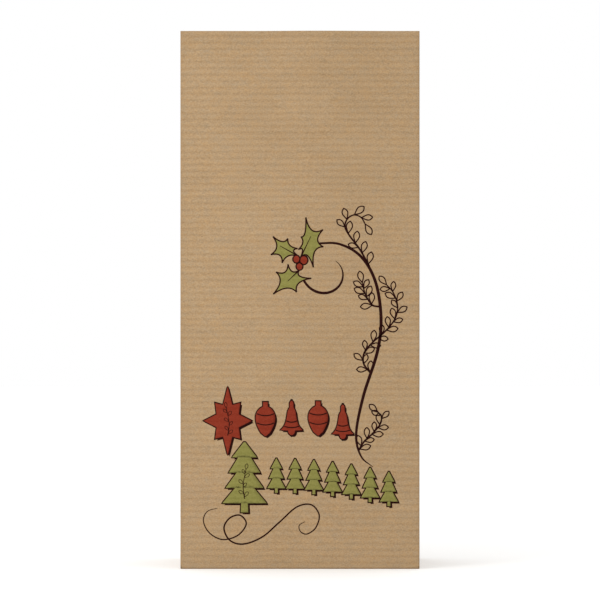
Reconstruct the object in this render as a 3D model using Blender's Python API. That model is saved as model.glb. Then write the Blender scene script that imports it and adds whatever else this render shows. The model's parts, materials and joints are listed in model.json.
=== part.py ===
"""Gusseted kraft paper gift bag for one wine bottle.

The bag is one sheet of paper, creased into flat panels and glued along a lapped
back seam and under the base. It stands open, with its front face towards -Y and
its mouth at +Z, and folds flat along its creases. Every panel between two
creases is one object, and each group of panels that moves hangs on an empty
that lies on the crease it turns about.

The origin is at the middle of the bag's underside. Lengths are in metres.
"""

import math

import bmesh
import bpy

MM = 0.001

# Driving dimensions
WIDTH = 139.7 * MM         # outside, across the front face
DEPTH = 82.6 * MM          # outside, front face to back face
HEIGHT = 314.3 * MM        # underside to mouth
PAPER = 0.25 * MM          # thickness of every panel
GAP = 0.3 * MM             # clearance between neighbouring panels
SEAM_LAP = 15.0 * MM       # overlap of the two glued back panels
SEAM_STEP = 0.9 * MM       # run over which the lapped panel steps inwards
FOOT = 1.5 * MM            # height of a gusset's lowest corner above the ground

# Folded flat, the layers lie one pitch apart, in the order front, gusset, tuck,
# flap, flap, tuck, gusset, back. A crease's axis lies half way between the two
# layers that it joins, so each distance below is half a number of pitches.
PITCH = PAPER + GAP
SIDE_CREASE = PITCH / 2
BASE_CREASE = 3 * PITCH / 2
CENTRE_CREASE = 5 * PITCH / 2

# Middle surfaces of the walls, and the clear edges of the panels between them
SIDE_MID = (WIDTH - PAPER) / 2
WALL_MID = (DEPTH - PAPER) / 2
FLAP_MID = PAPER / 2
EDGE_Y = WALL_MID - PAPER / 2 - GAP
EDGE_X = SIDE_MID - PAPER / 2 - GAP
MIDDLE_Y = GAP / 2

# Turning a flat outline upright: facing the front, or facing a side
UPRIGHT_WALL = (math.pi / 2, 0.0, 0.0)
UPRIGHT_SIDE = (math.pi / 2, 0.0, math.pi / 2)
LYING = (0.0, 0.0, 0.0)


def clear_scene():
    """Remove every object that is already in the scene."""
    for item in list(bpy.data.objects):
        bpy.data.objects.remove(item, do_unlink=True)


def paper_material(name, colour, roughness):
    """Return a plain uncoated paper finish with the given linear colour."""
    material = bpy.data.materials.new(name)
    material.use_nodes = True
    shader = material.node_tree.nodes["Principled BSDF"]
    shader.inputs["Base Color"].default_value = (*colour, 1.0)
    shader.inputs["Roughness"].default_value = roughness
    shader.inputs["Metallic"].default_value = 0.0
    material.diffuse_color = (*colour, 1.0)
    return material


def crease(name, position, parent=None):
    """Add an empty on a crease, at a place given in world coordinates."""
    empty = bpy.data.objects.new(name, None)
    empty.empty_display_size = 10 * MM
    empty["world_position"] = position
    empty.parent = parent
    empty.location = from_parent(position, parent)
    bpy.context.collection.objects.link(empty)
    return empty


def from_parent(position, parent):
    """Turn a world position into one counted from an unturned parent."""
    if parent is None:
        return position
    return [here - there for here, there in zip(position, parent["world_position"])]


def panel(name, faces, position, rotation, material, parent):
    """Add one panel: its middle surface as outlines, thickened equally both ways.

    Each face is a list of points (across, up, out) in the panel's own frame.
    """
    mesh = bpy.data.meshes.new(name)
    builder = bmesh.new()
    corners = {}
    for face in faces:
        for point in face:
            if point not in corners:
                corners[point] = builder.verts.new(point)
        builder.faces.new([corners[point] for point in face])
    builder.to_mesh(mesh)
    builder.free()
    mesh.materials.append(material)
    item = bpy.data.objects.new(name, mesh)
    item.rotation_euler = rotation
    item.location = from_parent(position, parent)
    item.parent = parent
    bpy.context.collection.objects.link(item)
    thickness = item.modifiers.new("paper_thickness", "SOLIDIFY")
    thickness.thickness = PAPER
    thickness.offset = 0.0
    thickness.use_even_offset = True
    return item


def outline(*points):
    """Return one flat face from (across, up) points."""
    return [tuple((across, up, 0.0) for across, up in points)]


def rectangle(left, right, low, high):
    """Return one flat rectangular face."""
    return outline((left, low), (right, low), (right, high), (left, high))


def build_front(root):
    """Front face: one rectangle from fold to fold and from ground to mouth."""
    material = paper_material("front_kraft", (0.46, 0.31, 0.17), 0.85)
    face = rectangle(-WIDTH / 2, WIDTH / 2, 0.0, HEIGHT)
    panel("front_panel", face, (0.0, -WALL_MID, 0.0), UPRIGHT_WALL, material, root)


def build_back(pivot):
    """Back face: two panels whose edges lap and are glued down the middle.

    The left panel's edge steps inwards behind the right one. The lapped strip
    stops just above the base, where the rear flap's edge needs its room.
    """
    lap = SEAM_LAP / 2
    step_start = -lap - GAP - SEAM_STEP
    step_end = -lap - GAP
    main = (
        (-WIDTH / 2, 0.0, 0.0),
        (step_start, 0.0, 0.0),
        (step_start, FOOT, 0.0),
        (step_start, HEIGHT, 0.0),
        (-WIDTH / 2, HEIGHT, 0.0),
    )
    step = (
        (step_start, FOOT, 0.0),
        (step_end, FOOT, PITCH),
        (step_end, HEIGHT, PITCH),
        (step_start, HEIGHT, 0.0),
    )
    strip = (
        (step_end, FOOT, PITCH),
        (lap, FOOT, PITCH),
        (lap, HEIGHT, PITCH),
        (step_end, HEIGHT, PITCH),
    )
    place = (0.0, WALL_MID, 0.0)
    left = paper_material("back_left_kraft", (0.42, 0.29, 0.16), 0.85)
    right = paper_material("back_right_kraft", (0.44, 0.30, 0.17), 0.85)
    panel("back_left_panel", [main, step, strip], place, UPRIGHT_WALL, left, pivot)
    covering = rectangle(-lap, WIDTH / 2, 0.0, HEIGHT)
    panel("back_right_panel", covering, place, UPRIGHT_WALL, right, pivot)


def build_gusset_half(side, side_name, end, end_name, pivot):
    """One half of a side gusset, and the corner of it that folds with the base.

    The corner is cut off along the 45 degree crease that runs from the bag's
    bottom corner up to the gusset's centre crease.
    """
    edge = end * EDGE_Y
    middle = end * MIDDLE_Y
    rise = EDGE_Y - MIDDLE_Y
    fold_clearance = GAP * math.sqrt(2)
    place = (side * SIDE_MID, 0.0, 0.0)
    half = outline((edge, FOOT), (middle, FOOT + rise), (middle, HEIGHT), (edge, HEIGHT))
    material = paper_material(f"{side_name}_{end_name}_gusset_kraft", (0.40, 0.27, 0.15), 0.87)
    name = f"{side_name}_gusset_{end_name}"
    panel(name, half, place, UPRIGHT_SIDE, material, pivot)
    corner_top = FOOT - fold_clearance
    corner = outline((edge, PITCH), (middle, PITCH), (middle, corner_top + rise), (edge, corner_top))
    fold_material = paper_material(f"{side_name}_{end_name}_corner_kraft", (0.38, 0.26, 0.14), 0.87)
    name = f"{side_name}_corner_fold_{end_name}"
    panel(name, corner, place, UPRIGHT_SIDE, fold_material, pivot)


def build_base_half(end, end_name, pivot):
    """One half of the base: the outer flap, and a triangular tuck at each end of it."""
    edge = end * EDGE_Y
    middle = end * MIDDLE_Y
    flap_material = paper_material(f"base_{end_name}_kraft", (0.43, 0.30, 0.17), 0.86)
    flap = rectangle(-WIDTH / 2, WIDTH / 2, min(edge, middle), max(edge, middle))
    panel(f"base_{end_name}_flap", flap, (0.0, 0.0, FLAP_MID), LYING, flap_material, pivot)
    leg = EDGE_Y - MIDDLE_Y
    for side, side_name in ((-1, "left"), (1, "right")):
        tuck = outline(
            (side * EDGE_X, edge),
            (side * EDGE_X, middle),
            (side * (EDGE_X - leg), middle),
        )
        tuck_material = paper_material(f"{side_name}_{end_name}_tuck_kraft", (0.41, 0.28, 0.16), 0.86)
        place = (0.0, 0.0, FLAP_MID + PITCH)
        panel(f"{side_name}_base_tuck_{end_name}", tuck, place, LYING, tuck_material, pivot)


def main():
    """Build the creases first, and then each panel on the crease it turns about."""
    clear_scene()
    side_x = SIDE_MID - SIDE_CREASE
    side_y = WALL_MID - SIDE_CREASE
    centre_x = SIDE_MID + CENTRE_CREASE
    base_y = WALL_MID - BASE_CREASE
    base_z = FLAP_MID + BASE_CREASE

    root = crease("bag_origin", (0.0, 0.0, 0.0))
    left_front = crease("left_front_crease", (-side_x, -side_y, 0.0), root)
    left_centre = crease("left_centre_crease", (-centre_x, 0.0, 0.0), left_front)
    left_rear = crease("left_rear_crease", (-side_x, side_y, 0.0), left_centre)
    right_front = crease("right_front_crease", (side_x, -side_y, 0.0), root)
    right_centre = crease("right_centre_crease", (centre_x, 0.0, 0.0), right_front)
    base_front = crease("base_front_crease", (0.0, -base_y, base_z), root)
    base_rear = crease("base_rear_crease", (0.0, base_y, base_z), left_rear)

    build_front(root)
    build_gusset_half(-1, "left", -1, "front", left_front)
    build_gusset_half(-1, "left", 1, "rear", left_centre)
    build_gusset_half(1, "right", -1, "front", right_front)
    build_gusset_half(1, "right", 1, "rear", right_centre)
    build_back(left_rear)
    build_base_half(-1, "front", base_front)
    build_base_half(1, "rear", base_rear)


main()
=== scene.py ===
"""Looks of a kraft paper gift bag for one wine bottle, printed with a festive ornament.

The bag is made of bent paper: two bowed walls, four gusset halves that are drawn
in towards the mouth, a folded base, and narrow creases that join them. Every
surface is a function of two parameters, worked out on a grid. The print lies on
the front wall as thin films of ink that follow its curve. Lengths are in metres
and places come from the frame: -Y is the front and +Z the mouth.
"""

from __future__ import annotations

import json
import logging
import math
from dataclasses import dataclass, field
from enum import Enum

import bmesh
import bpy
import numpy as np
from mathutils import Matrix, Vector


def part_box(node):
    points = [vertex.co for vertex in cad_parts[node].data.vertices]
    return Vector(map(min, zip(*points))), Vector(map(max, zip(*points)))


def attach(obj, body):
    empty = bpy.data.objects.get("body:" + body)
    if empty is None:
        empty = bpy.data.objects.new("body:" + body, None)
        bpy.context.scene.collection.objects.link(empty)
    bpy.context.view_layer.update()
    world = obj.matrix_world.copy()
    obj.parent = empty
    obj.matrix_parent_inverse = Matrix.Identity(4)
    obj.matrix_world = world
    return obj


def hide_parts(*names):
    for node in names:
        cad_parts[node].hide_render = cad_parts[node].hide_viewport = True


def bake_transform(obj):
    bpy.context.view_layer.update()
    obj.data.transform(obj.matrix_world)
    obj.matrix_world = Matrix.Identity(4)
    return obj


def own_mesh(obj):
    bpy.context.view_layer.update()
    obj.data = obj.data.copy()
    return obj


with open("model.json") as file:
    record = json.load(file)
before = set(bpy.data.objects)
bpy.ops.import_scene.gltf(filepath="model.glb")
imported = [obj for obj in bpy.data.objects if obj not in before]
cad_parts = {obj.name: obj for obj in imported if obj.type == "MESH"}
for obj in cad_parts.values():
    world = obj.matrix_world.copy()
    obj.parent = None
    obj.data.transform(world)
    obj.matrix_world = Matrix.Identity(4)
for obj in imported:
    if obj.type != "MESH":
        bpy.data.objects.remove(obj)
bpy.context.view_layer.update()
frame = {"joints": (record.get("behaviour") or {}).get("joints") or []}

Material = bpy.types.Material
Piece = bpy.types.Object
Socket = bpy.types.NodeSocket
Point = tuple[float, float]
Point3 = tuple[float, float, float]

LOG = logging.getLogger("gift_bag")
MM = 0.001
TINY = 1e-9              # keeps a length that is divided by from being 0


class Side(Enum):
    """Which side of the bag a gusset is on, as the sign of its X."""

    LEFT = -1
    RIGHT = 1


class End(Enum):
    """Which wall a half of a gusset or of the base belongs to, as the sign of its Y."""

    FRONT = -1
    REAR = 1

    @property
    def body(self) -> str:
        """The body that the wall rides on."""
        return "front" if self is End.FRONT else "back"


class RibAxis(Enum):
    """Which way the paper's ribs follow each other, as the turn that brings that way to Z."""

    UPRIGHT = (0.0, 0.0, 0.0)
    LYING = (math.pi / 2, 0.0, 0.0)
    CROSSWISE = (0.0, math.pi / 2, 0.0)


# ---------------------------------------------------------------- measures


@dataclass(frozen=True)
class BagMeasures:
    """Sizes and places of the bag's middle surfaces, read from the frame.

    Attributes:
        side_x: X of the right gusset's middle surface.
        wall_y: Y of the back wall's middle surface; the front's is its negative.
        height: Z of the mouth.
        paper: thickness of the paper.
        flap_z: Z of the base flaps' middle surface.
        side_fold: radius of the vertical corner creases.
        base_fold: radius of the creases between walls and base.
        lap: half the width of the glued back seam.
        pitch: distance between two layers that lie on each other.
    """

    side_x: float
    wall_y: float
    height: float
    paper: float
    flap_z: float
    side_fold: float
    base_fold: float
    lap: float
    pitch: float

    @classmethod
    def from_frame(cls) -> BagMeasures:
        """Read the measures from the CAD nodes and joints.

        Returns:
            The bag's measures.
        """
        low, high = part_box("front_panel")
        gusset_low, gusset_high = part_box("right_gusset_front")
        back_low, back_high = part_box("back_right_panel")
        flap_low, flap_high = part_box("base_front_flap")
        tuck_low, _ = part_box("left_base_tuck_front")
        axes = {joint["name"]: joint["pos_m"] for joint in frame["joints"]}
        side_x = (gusset_low.x + gusset_high.x) / 2
        wall_y = (back_low.y + back_high.y) / 2
        return cls(
            side_x=side_x,
            wall_y=wall_y,
            height=high.z,
            paper=high.y - low.y,
            flap_z=(flap_low.z + flap_high.z) / 2,
            side_fold=side_x - axes["right_front_crease"][0],
            base_fold=wall_y - axes["base_rear_crease"][1],
            lap=-back_low.x,
            pitch=tuck_low.z - flap_low.z,
        )


BAG = BagMeasures.from_frame()
CREASE_LIP = 0.9 * MM      # how far a crease reaches on to the flat paper on each side
GUSSET_FOOT = 0.75 * MM    # height at which the gussets' lower edge starts
CENTRE_GAP = 0.02 * MM     # how far a half stops short of the crease down its middle
CREASE_SHADE_WIDTH = 0.3 * MM      # how far the painted shade of a crease spreads over the paper


# ------------------------------------------------------------ mesh helpers


def smooth_step(t: np.ndarray) -> np.ndarray:
    """Rise from 0 to 1 with level ends: 3t squared less 2t cubed, held outside 0 to 1."""
    t = np.clip(t, 0.0, 1.0)
    return t * t * (3.0 - 2.0 * t)


def grid_faces(rows: int, columns: int, start: int = 0, flip: bool = False) -> np.ndarray:
    """Return the quads of a grid whose points are stored row by row.

    Args:
        rows: number of points along the first parameter.
        columns: number of points along the second parameter.
        start: index of the grid's first point.
        flip: turn the faces round.

    Returns:
        An array of four indices for each face.
    """
    index = start + np.arange(rows * columns).reshape(rows, columns)
    corners = [index[:-1, :-1], index[:-1, 1:], index[1:, 1:], index[1:, :-1]]
    if flip:
        corners.reverse()
    return np.stack([corner.ravel() for corner in corners], axis=1)


def make_piece(name: str, points: np.ndarray, faces: np.ndarray, material: Material) -> Piece:
    """Make a smooth mesh object at the origin from points and quads.

    Args:
        name: the piece's name.
        points: an array of x, y, z.
        faces: an array of four indices for each face.
        material: the piece's finish.

    Returns:
        The new object.
    """
    mesh = bpy.data.meshes.new(name)
    mesh.vertices.add(len(points))
    mesh.vertices.foreach_set("co", points.astype(np.float32).ravel())
    mesh.loops.add(faces.size)
    mesh.loops.foreach_set("vertex_index", faces.astype(np.int32).ravel())
    mesh.polygons.add(len(faces))
    mesh.polygons.foreach_set("loop_start", np.arange(0, faces.size, 4, dtype=np.int32))
    mesh.update(calc_edges=True)
    mesh.validate()
    mesh.shade_smooth()
    mesh.materials.append(material)
    piece = bpy.data.objects.new(name, mesh)
    bpy.context.scene.collection.objects.link(piece)
    return piece


def grid_piece(name: str, surface: np.ndarray, material: Material, flip: bool = False) -> Piece:
    """Make a piece from one grid of points, an array of rows, columns and x, y, z."""
    rows, columns, _ = surface.shape
    return make_piece(name, surface.reshape(-1, 3), grid_faces(rows, columns, flip=flip), material)


def paper_piece(
    name: str,
    surface: np.ndarray,
    material: Material,
    wear: np.ndarray,
    flip: bool = False,
    thickness: float = BAG.paper,
) -> Piece:
    """Make a sheet of paper with sharp cut edges round a grid, half its thickness to each side.

    Args:
        name: the piece's name.
        surface: an array of rows, columns and x, y, z.
        material: the piece's finish.
        wear: how much painted shade darkens each point, 0 to 1, which its finish reads.
        flip: turn the faces round.
        thickness: of the paper.

    Returns:
        The sheet.
    """
    piece = grid_piece(name, surface, material, flip)
    # painted shade along creases, stored at each point for the finish
    attribute = piece.data.attributes.new("wear", "FLOAT", "POINT")
    attribute.data.foreach_set("value", np.broadcast_to(wear, surface.shape[:2]).astype(np.float32).ravel())
    wall = piece.modifiers.new("paper_thickness", "SOLIDIFY")
    wall.thickness = thickness
    wall.offset = 0.0
    wall.use_even_offset = True
    wall.use_quality_normals = True
    edges = piece.modifiers.new("cut_edges", "EDGE_SPLIT")
    edges.split_angle = math.radians(50)
    return piece


def flatten_with_fold(piece: Piece) -> None:
    """Give a bent panel, or ink on it, its own copy of its mesh."""
    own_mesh(piece)


def steps(low: float, high: float, spacing: float) -> np.ndarray:
    """Return evenly spaced values from low to high, no further apart than spacing."""
    return np.linspace(low, high, max(2, int(math.ceil((high - low) / spacing)) + 1))


# --------------------------------------------------------------- materials


def linear(hex_colour: str) -> tuple[float, float, float, float]:
    """Turn an sRGB hex colour such as "#b4966f" to linear RGBA.

    Args:
        hex_colour: six hex digits after a hash.

    Returns:
        Linear red, green and blue, and an alpha of 1.
    """
    channels = [int(hex_colour[i:i + 2], 16) / 255 for i in (1, 3, 5)]
    curve = [c / 12.92 if c <= 0.04045 else ((c + 0.055) / 1.055) ** 2.4 for c in channels]
    return (*curve, 1.0)


def add_node(
    material: Material,
    kind: str,
    links: dict[str | int, Socket] | None = None,
    values: dict[str | int, object] | None = None,
    **settings: object,
) -> bpy.types.Node:
    """Add a node with its settings, input values and links.

    Args:
        material: whose tree the node goes in.
        kind: the node's type.
        links: sockets that feed its inputs, by input name or number.
        values: values of its inputs, by input name or number.
        **settings: properties of the node.

    Returns:
        The new node.
    """
    tree = material.node_tree
    node = tree.nodes.new(kind)
    for key, value in settings.items():
        setattr(node, key, value)
    for key, value in (values or {}).items():
        node.inputs[key].default_value = value
    for key, socket in (links or {}).items():
        tree.links.new(socket, node.inputs[key])
    return node


def new_material(name: str) -> tuple[Material, bpy.types.bpy_prop_collection]:
    """Make a node material.

    Args:
        name: the finish's name.

    Returns:
        The material, and the inputs of its Principled BSDF.
    """
    material = bpy.data.materials.new(name)
    material.use_nodes = True
    return material, material.node_tree.nodes["Principled BSDF"].inputs


@dataclass
class RibbedSheet:
    """The pattern of paper dried on a ribbed felt, in one material.

    The felt presses soft ribs into the sheet a few millimetres apart. Fibres lie
    mostly along the ribs, which gives fine streaks, and uneven pulp gives clouds.

    Attributes:
        material: whose tree the pattern goes in.
        rib_axis: which way the ribs follow each other.
        rib_pitch: distance from rib to rib.
        rib_depth: height of a rib.
        crown: power that narrows the dark valleys between ribs.
        streak: length of a fibre streak, drawn coarser than a real fibre so it shows.
        cloud: length of a cloud of pulp.
        grain: size of the finest grain.
        tone_weights: how much ribs, streaks, clouds, grain and bands of ribs show in the tone.
        tone_shift: brings the mean tone near 0.5.
        relief_weights: how much ribs, streaks and grain stand up.
        tint_weights: how much fibres and patches vary from greyish to yellowish.
        tint_shift: brings the mean tint near 0.5.
    """

    material: Material
    rib_axis: RibAxis
    rib_pitch: float = 3.75 * MM
    rib_depth: float = 0.07 * MM
    crown: float = 0.6
    streak: float = 2.2 * MM
    cloud: float = 34.0 * MM
    grain: float = 0.62 * MM
    tone_weights: tuple[float, ...] = (0.22, 0.50, 0.34, 1.15, 0.16)
    tone_shift: float = -0.70
    relief_weights: tuple[float, ...] = (1.0, 0.3, 0.35)
    tint_weights: tuple[float, ...] = (1.25, 0.9)
    tint_shift: float = -0.575

    def __post_init__(self) -> None:
        """Turn the object's coordinates so that the ribs follow each other along Z."""
        place = add_node(self.material, "ShaderNodeTexCoord").outputs["Object"]
        turn = {"Rotation": self.rib_axis.value}
        self.place = add_node(self.material, "ShaderNodeMapping", {"Vector": place}, turn).outputs[0]

    def stretched(self, length: float, height: float) -> Socket:
        """Return coordinates in which a step is length along the ribs and height across them."""
        scale = {"Scale": (1 / length, 1 / length, 1 / height)}
        return add_node(self.material, "ShaderNodeMapping", {"Vector": self.place}, scale).outputs[0]

    def noise(self, length: float, height: float, detail: float) -> Socket:
        """Return noise from 0 to 1 whose spots have another size along the ribs than across.

        Args:
            length: size of a spot along the ribs.
            height: size of a spot across the ribs.
            detail: octaves of finer noise.

        Returns:
            The noise, mostly near 0.5.
        """
        links = {"Vector": self.stretched(length, height)}
        values = {"Scale": 1.0, "Detail": detail, "Roughness": 0.6}
        return add_node(self.material, "ShaderNodeTexNoise", links, values).outputs["Fac"]

    def weigh(self, parts: list[Socket], weights: tuple[float, ...], offset: float) -> Socket:
        """Return the sum of some values, each times its weight, and an offset.

        Args:
            parts: the values.
            weights: one for each value.
            offset: the number that the sum starts from.

        Returns:
            The weighted sum.
        """
        total = None
        for part, weight in zip(parts, weights):
            links = {0: part} if total is None else {0: part, 2: total}
            values = {1: weight, 2: offset}
            term = add_node(self.material, "ShaderNodeMath", links, values, operation="MULTIPLY_ADD")
            total = term.outputs[0]
        return total

    def tone_and_normal(self) -> tuple[Socket, Socket]:
        """Add the pattern of ribs, streaks, clouds and grain.

        Returns:
            The sheet's tone, 0 dark to 1 pale, and its surface normal.
        """
        wave = add_node(
            self.material,
            "ShaderNodeTexWave",
            {"Vector": self.place},
            {
                "Scale": math.pi / 10 / self.rib_pitch,
                "Distortion": 0.9,
                "Detail": 1.0,
                "Detail Scale": 0.3,
                "Detail Roughness": 0.4,
            },
            wave_type="BANDS",
            bands_direction="Z",
            wave_profile="SIN",
        )
        links = {0: wave.outputs["Fac"]}
        crown = add_node(self.material, "ShaderNodeMath", links, {1: self.crown}, operation="POWER")
        ribs = crown.outputs[0]
        streaks = self.noise(self.streak, self.streak / 3, 3.0)
        clouds = self.noise(self.cloud, self.cloud / 1.6, 3.0)
        grains = self.noise(self.grain * 1.3, self.grain, 1.0)
        bands = self.noise(self.cloud * 6, self.rib_pitch * 1.1, 2.0)
        tone = self.weigh([ribs, streaks, clouds, grains, bands], self.tone_weights, self.tone_shift)
        relief = self.weigh([ribs, streaks, grains], self.relief_weights, 0.0)
        depth = {"Strength": 1.0, "Distance": self.rib_depth}
        return tone, add_node(self.material, "ShaderNodeBump", {"Height": relief}, depth).outputs[0]

    def tint(self) -> Socket:
        """Add the pulp's change of tint.

        Returns:
            How grey, 0, or how yellow, 1, the pulp is at each place.
        """
        fibres = self.noise(self.grain * 2, self.grain * 1.2, 2.0)
        patches = self.noise(self.cloud / 4, self.cloud / 7, 2.0)
        return self.weigh([fibres, patches], self.tint_weights, self.tint_shift)


@dataclass(frozen=True)
class SheetFinish:
    """A finish whose tone and relief are those of the ribbed sheet.

    Attributes:
        name: the finish's name.
        dark: the darkest common tone.
        pale: the palest common tone.
        rib_axis: which way the sheet's ribs follow each other.
        roughness: of the surface.
        gloss: specular level of the surface.
        ior: refraction of cellulose, and of the ink's binder.
    """

    name: str
    dark: str
    pale: str
    rib_axis: RibAxis = RibAxis.UPRIGHT
    roughness: float = 0.5
    gloss: float = 0.5
    ior: float = 1.5

    def between(self, sheet: RibbedSheet, share: Socket, low: str, high: str) -> Socket:
        """Return a colour that goes from one tone to another.

        Args:
            sheet: the sheet's pattern.
            share: 0 for the first tone to 1 for the second.
            low: the first tone.
            high: the second tone.

        Returns:
            The colour.
        """
        ramp = add_node(sheet.material, "ShaderNodeValToRGB", {0: share})
        for stop, tone in zip(ramp.color_ramp.elements, (low, high)):
            stop.color = linear(tone)
        return ramp.outputs[0]

    def colour(self, sheet: RibbedSheet, tones: Socket) -> Socket:
        """Return the surface's colour, which is that of the sheet's tones alone."""
        return tones

    def build(self) -> Material:
        """Make the material.

        Returns:
            The material.
        """
        material, inputs = new_material(self.name)
        sheet = RibbedSheet(material, self.rib_axis)
        tone, normal = sheet.tone_and_normal()
        colour = self.colour(sheet, self.between(sheet, tone, self.dark, self.pale))
        material.node_tree.links.new(colour, inputs["Base Color"])
        material.node_tree.links.new(normal, inputs["Normal"])
        inputs["Roughness"].default_value = self.roughness
        inputs["Specular IOR Level"].default_value = self.gloss
        inputs["IOR"].default_value = self.ior
        return material


@dataclass(frozen=True)
class PrintedInk(SheetFinish):
    """Water-based ink, printed thinly from a rubber plate on kraft paper.

    It soaks in, so the ribs and fibres still show through it, and it is a little
    less matt than the bare sheet.
    """

    roughness: float = 0.66
    gloss: float = 0.04


@dataclass(frozen=True)
class KraftFinish(SheetFinish):
    """Unbleached brown kraft paper, glazed on one side and ribbed by its felt.

    It is matt with a slight sheen on the ribs, pale where the pulp is thin, and
    painted darker along each crease, as shade. The pulp varies from greyish to
    yellowish, and small shives of wood speckle it.

    Attributes:
        crease: tone of the painted shade along a crease.
        shive: tone of the specks.
        greyish: filter over the coolest pulp.
        yellowish: filter over the warmest pulp.
        shive_spacing: size of the cells that may each hold a speck.
    """

    dark: str = "#866c4b"
    pale: str = "#a9906f"
    roughness: float = 0.74
    gloss: float = 0.35
    # tone of the painted shade along creases
    crease: str = "#674d32"
    shive: str = "#6c5036"
    greyish: str = "#e9f0fb"
    yellowish: str = "#fff3dd"
    shive_spacing: float = 2.6 * MM

    def shives(self, sheet: RibbedSheet) -> Socket:
        """Return a mask of small dark specks, a few to each square centimetre.

        A speck is the core of a cell whose own random value is high.

        Args:
            sheet: the sheet's pattern.

        Returns:
            The mask, 0 for none.
        """
        material = sheet.material
        links = {"Vector": sheet.stretched(self.shive_spacing * 2, self.shive_spacing)}
        cells = add_node(material, "ShaderNodeTexVoronoi", links, {"Scale": 1.0, "Randomness": 1.0})
        chance = add_node(material, "ShaderNodeSeparateColor", {0: cells.outputs["Color"]})
        core, chosen = (
            add_node(material, "ShaderNodeMapRange", {0: socket}, dict(enumerate(limits, 1))).outputs[0]
            for socket, limits in (
                (cells.outputs["Distance"], (0.06, 0.15, 1.0, 0.0)),
                (chance.outputs[0], (0.72, 0.95, 0.0, 0.55)),
            )
        )
        return add_node(material, "ShaderNodeMath", {0: core, 1: chosen}, operation="MULTIPLY").outputs[0]

    def colour(self, sheet: RibbedSheet, tones: Socket) -> Socket:
        """Return the tones under the pulp's tint, with specks and painted crease shade over them.

        Args:
            sheet: the sheet's pattern.
            tones: the sheet's tones.

        Returns:
            The colour.
        """
        wear = add_node(sheet.material, "ShaderNodeAttribute", attribute_name="wear").outputs["Fac"]
        cast = self.between(sheet, sheet.tint(), self.greyish, self.yellowish)
        colour = tones
        for links, values, way in (
            ({7: cast}, {0: 1.0}, "MULTIPLY"),
            ({0: self.shives(sheet)}, {7: linear(self.shive)}, "MIX"),
            # painted shade: mix towards the crease tone along creases
            ({0: wear}, {7: linear(self.crease)}, "MIX"),
        ):
            links[6] = colour
            mix = add_node(sheet.material, "ShaderNodeMix", links, values, data_type="RGBA", blend_type=way)
            colour = mix.outputs[2]
        return colour


# ------------------------------------------------------------ paper pieces


def soft_buckles(x: np.ndarray, z: np.ndarray, width: float, seed: float) -> np.ndarray:
    """Return the height, -1 to 1, of a few shallow slanted buckles in an upright sheet.

    Each is a product of two bell curves, narrow across its line and long along
    it. Their places step up the sheet by the golden section, so that none
    stands straight above another.

    Args:
        x: places across the sheet, from its middle.
        z: places up the sheet.
        width: of the sheet.
        seed: shifts the buckles, so that no two sheets are alike.

    Returns:
        An array as large as x and z together.
    """
    count = 5
    golden = (math.sqrt(5) - 1) / 2
    spread = 0.7
    lowest, rise = 0.3, 0.14
    mean_slant, slant_change = 38, 16
    long, narrow = 0.19 * width, 0.055 * width
    total = np.zeros(np.broadcast(x, z).shape)
    for k in range(count):
        across = ((k + seed) * golden % 1 - 0.5) * spread * width
        up = BAG.height * (lowest + rise * k)
        slant = math.radians(mean_slant + slant_change * math.sin(3 * k + seed)) * (1 if k % 2 else -1)
        along = (x - across) * math.cos(slant) + (z - up) * math.sin(slant)
        aside = (z - up) * math.cos(slant) - (x - across) * math.sin(slant)
        total = total + (-1) ** k * np.exp(-((along / long) ** 2) - (aside / narrow) ** 2)
    return total


@dataclass(frozen=True)
class WallShape:
    """How a large wall of the open bag bends between its straight side creases.

    Attributes:
        end: the front or the rear wall.
        bow: how far the middle stands out.
        mouth_wave: height of the waves at the free edge of the mouth.
        ripple: height of the soft unevenness all over.
        buckle: height of the shallow slanted buckles.
        phase: shifts the waves, so that the two walls differ.
        foot_rise: share of the height over which the bow grows from the base.
        mouth_ease: share of the bow that is lost again at the mouth.
        mouth_turns: waves from the wall's middle to its side, at the mouth.
    """

    end: End
    bow: float
    mouth_wave: float
    ripple: float
    buckle: float
    phase: float
    foot_rise: float = 0.28
    mouth_ease: float = 0.3
    mouth_turns: float = 0.8

    @property
    def plane(self) -> float:
        """Y of the wall's straight side creases."""
        return self.end.value * BAG.wall_y

    def depth(self, x: np.ndarray, z: np.ndarray) -> np.ndarray:
        """Return Y of the wall's middle surface.

        The bow is (1 - u squared) squared across, so it leaves the side creases
        flat, and rises from the base as 1 - exp(-(v / foot_rise) squared). The
        mouth's waves grow with the fourth power of the height, and the ripple is
        a sum of three sines. The buckles are added to them.

        Args:
            x: places across the wall.
            z: places up the wall.

        Returns:
            An array of Y, as large as x and z together.
        """
        u = np.clip(x / BAG.side_x, -1, 1)
        v = np.clip(z / BAG.height, 0, 1)
        across = (1 - u * u) ** 2
        up = 1 - np.exp(-((v / self.foot_rise) ** 2))
        bow = self.bow * up * (1 - self.mouth_ease * v**3)
        wave = self.mouth_wave * v**4 * np.sin(2 * math.pi * self.mouth_turns * u + self.phase)
        ripple = (
            np.sin(5.1 * u + 3.3 * v + self.phase)
            + 0.7 * np.sin(9.7 * v - 4.1 * u + 2 * self.phase)
            + 0.5 * np.sin(15.3 * v + 7.9 * u)
        )
        buckles = self.buckle * soft_buckles(x, z, 2 * BAG.side_x, self.phase)
        return self.plane + self.end.value * across * (bow + wave + buckles + self.ripple * up * ripple)


FRONT_SHAPE = WallShape(
    End.FRONT, bow=1.7 * MM, mouth_wave=1.4 * MM, ripple=0.16 * MM, buckle=0.12 * MM, phase=0.6
)
BACK_SHAPE = WallShape(
    End.REAR, bow=2.6 * MM, mouth_wave=2.2 * MM, ripple=0.22 * MM, buckle=0.45 * MM, phase=2.2
)


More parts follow.
